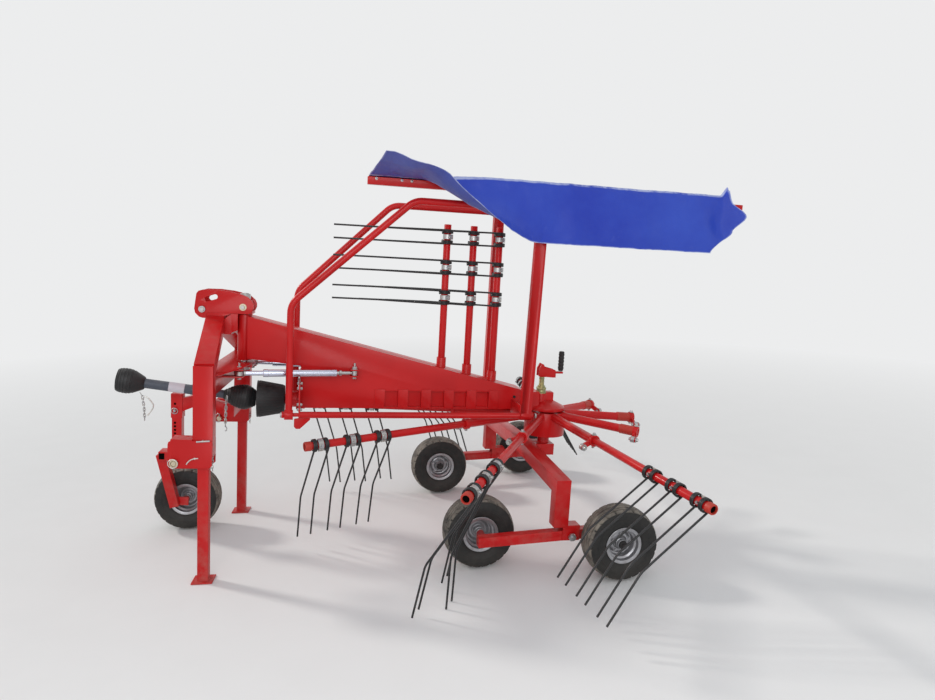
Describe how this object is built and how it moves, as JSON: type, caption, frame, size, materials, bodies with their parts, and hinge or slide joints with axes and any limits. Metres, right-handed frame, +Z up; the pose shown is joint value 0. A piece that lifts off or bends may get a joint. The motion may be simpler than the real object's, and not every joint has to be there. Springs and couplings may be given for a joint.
{
  "type": "rotary rake",
  "caption": "Single-rotor hay rake on a four-wheel tandem chassis with a swinging hitch head, stand legs, a nose wheel, fold-up guards and a cloth swath curtain.",
  "frame": {"origin": "centre of the whole machine's bounding box, on the ground", "axes": "+X points forward to the hitch, +Y to the machine's left, +Z up"},
  "size_m": [3.4522, 2.931, 2.0778],
  "materials": {
    "red_paint": "gloss",
    "spring_steel": "satin",
    "zinc": "satin",
    "chrome": "polished",
    "brass": "satin",
    "black_plastic": "matt",
    "tarpaulin": "coated, with a sheen",
    "tyre": "dusty",
    "rim_silver": "satin"
  },
  "bodies": {
    "frame": {"main_beam": "red_paint", "gearbox": "red_paint", "height_spindle": "brass", "height_crank": "red_paint", "axle_arch": "red_paint", "stored_arms": "red_paint", "stored_tines": "spring_steel", "input_hood": "black_plastic", "shaft_rear": "black_plastic", "hoop_carriers": "red_paint"},
    "rotor": {"rotor_hub": "red_paint", "rotor_arms": "red_paint", "tines_1": "spring_steel", "tines_2": "spring_steel", "tines_3": "spring_steel", "tines_4": "spring_steel", "tines_5": "spring_steel", "tines_6": "spring_steel"},
    "hitch_head": {"head_frame": "red_paint", "top_link_bracket": "red_paint", "lower_link_clevises": "red_paint", "king_pin": "zinc", "jockey_carrier": "red_paint"},
    "stand_left": {"stand_left": "red_paint"},
    "stand_right": {"stand_right": "red_paint"},
    "bogie_left": {"bogie_left": "red_paint"},
    "bogie_right": {"bogie_right": "red_paint"},
    "guard_left": {"hoop_left": "red_paint", "curtain_bar": "red_paint", "curtain": "tarpaulin"},
    "guard_right": {"hoop_right": "red_paint"},
    "damper_cylinder_left": {"damper_cylinder_left": "chrome"},
    "damper_cylinder_right": {"damper_cylinder_right": "chrome"},
    "damper_rod_left": {"damper_rod_left": "zinc"},
    "damper_rod_right": {"damper_rod_right": "zinc"},
    "shaft_front": {"shaft_front": "black_plastic"},
    "front_wheel_left": {"front_wheel_left_tyre": "tyre", "front_wheel_left_rim": "rim_silver"},
    "rear_wheel_left": {"rear_wheel_left_tyre": "tyre", "rear_wheel_left_rim": "rim_silver"},
    "front_wheel_right": {"front_wheel_right_tyre": "tyre", "front_wheel_right_rim": "rim_silver"},
    "rear_wheel_right": {"rear_wheel_right_tyre": "tyre", "rear_wheel_right_rim": "rim_silver"},
    "jockey_wheel": {"jockey_wheel_tyre": "tyre", "jockey_wheel_rim": "rim_silver"}
  },
  "joints": [
    {"name": "rotor_spin", "type": "hinge", "parent": "frame", "child": "rotor", "pos_m": [-0.64624, -0.01114, 0.64553], "axis": [-0.0558, 0, 0.9984], "continuous": true},
    {"name": "head_swing", "type": "hinge", "parent": "frame", "child": "hitch_head", "pos_m": [1.06807, -0.01114, 1.02822], "axis": [-0.0558, 0, 0.9984], "range_deg": [-14.1, 25.9]},
    {"name": "bogie_rock_left", "type": "hinge", "parent": "frame", "child": "bogie_left", "pos_m": [-0.5387, 0.70386, 0.185], "axis": [0, 1, 0], "range_deg": [-12, 12]},
    {"name": "bogie_rock_right", "type": "hinge", "parent": "frame", "child": "bogie_right", "pos_m": [-0.5387, -0.72614, 0.185], "axis": [0, 1, 0], "range_deg": [-12, 12]},
    {"name": "guard_fold_left", "type": "hinge", "parent": "frame", "child": "guard_left", "pos_m": [-0.64833, 0.23886, 0.68287], "axis": [0.9984, 0, 0.0558], "range_deg": [-80, 0]},
    {"name": "guard_fold_right", "type": "hinge", "parent": "frame", "child": "guard_right", "pos_m": [-0.64833, -0.26114, 0.68287], "axis": [0.9984, 0, 0.0558], "range_deg": [0, 80]},
    {"name": "stand_slide_left", "type": "slide", "parent": "hitch_head", "child": "stand_left", "axis": [-0.0558, 0, 0.9984], "range_m": [0, 0.24]},
    {"name": "stand_slide_right", "type": "slide", "parent": "hitch_head", "child": "stand_right", "axis": [-0.0558, 0, 0.9984], "range_m": [0, 0.24]},
    {"name": "damper_yaw_left", "type": "hinge", "parent": "frame", "child": "damper_cylinder_left", "pos_m": [0.48843, 0.11386, 0.95175], "axis": [-0.0558, 0, 0.9984], "range_deg": [-4, 4]},
    {"name": "damper_yaw_right", "type": "hinge", "parent": "frame", "child": "damper_cylinder_right", "pos_m": [0.48843, -0.13614, 0.95175], "axis": [-0.0558, 0, 0.9984], "range_deg": [-4, 4]},
    {"name": "damper_left", "type": "slide", "parent": "damper_cylinder_left", "child": "damper_rod_left", "axis": [0.9925, 0.1091, 0.0555], "range_m": [-0.087, 0.0483]},
    {"name": "damper_right", "type": "slide", "parent": "damper_cylinder_right", "child": "damper_rod_right", "axis": [0.992, -0.113, 0.0555], "range_m": [-0.0483, 0.087]},
    {"name": "shaft_slide", "type": "slide", "parent": "frame", "child": "shaft_front", "axis": [0.9817, 0, 0.1903], "range_m": [0, 0.15]},
    {"name": "front_wheel_left_spin", "type": "hinge", "parent": "bogie_left", "child": "front_wheel_left", "pos_m": [-0.0977, 0.56086, 0.185], "axis": [0, 1, 0], "continuous": true},
    {"name": "rear_wheel_left_spin", "type": "hinge", "parent": "bogie_left", "child": "rear_wheel_left", "pos_m": [-0.7477, 0.84686, 0.185], "axis": [0, 1, 0], "continuous": true},
    {"name": "front_wheel_right_spin", "type": "hinge", "parent": "bogie_right", "child": "front_wheel_right", "pos_m": [-0.0977, -0.58314, 0.185], "axis": [0, 1, 0], "continuous": true},
    {"name": "rear_wheel_right_spin", "type": "hinge", "parent": "bogie_right", "child": "rear_wheel_right", "pos_m": [-0.7477, -0.86914, 0.185], "axis": [0, 1, 0], "continuous": true},
    {"name": "jockey_wheel_spin", "type": "hinge", "parent": "hitch_head", "child": "jockey_wheel", "pos_m": [1.44314, -0.29631, 0.185], "axis": [0.1026, 0.9947, 0.0057], "continuous": true}
  ],
  "couplings": [
    {"joint": "damper_left", "follows": "head_swing", "m_per_rad": -0.188},
    {"joint": "damper_right", "follows": "head_swing", "m_per_rad": 0.188},
    {"joint": "damper_yaw_left", "follows": "head_swing", "ratio": 0.02},
    {"joint": "damper_yaw_right", "follows": "head_swing", "ratio": 0.02}
  ]
}
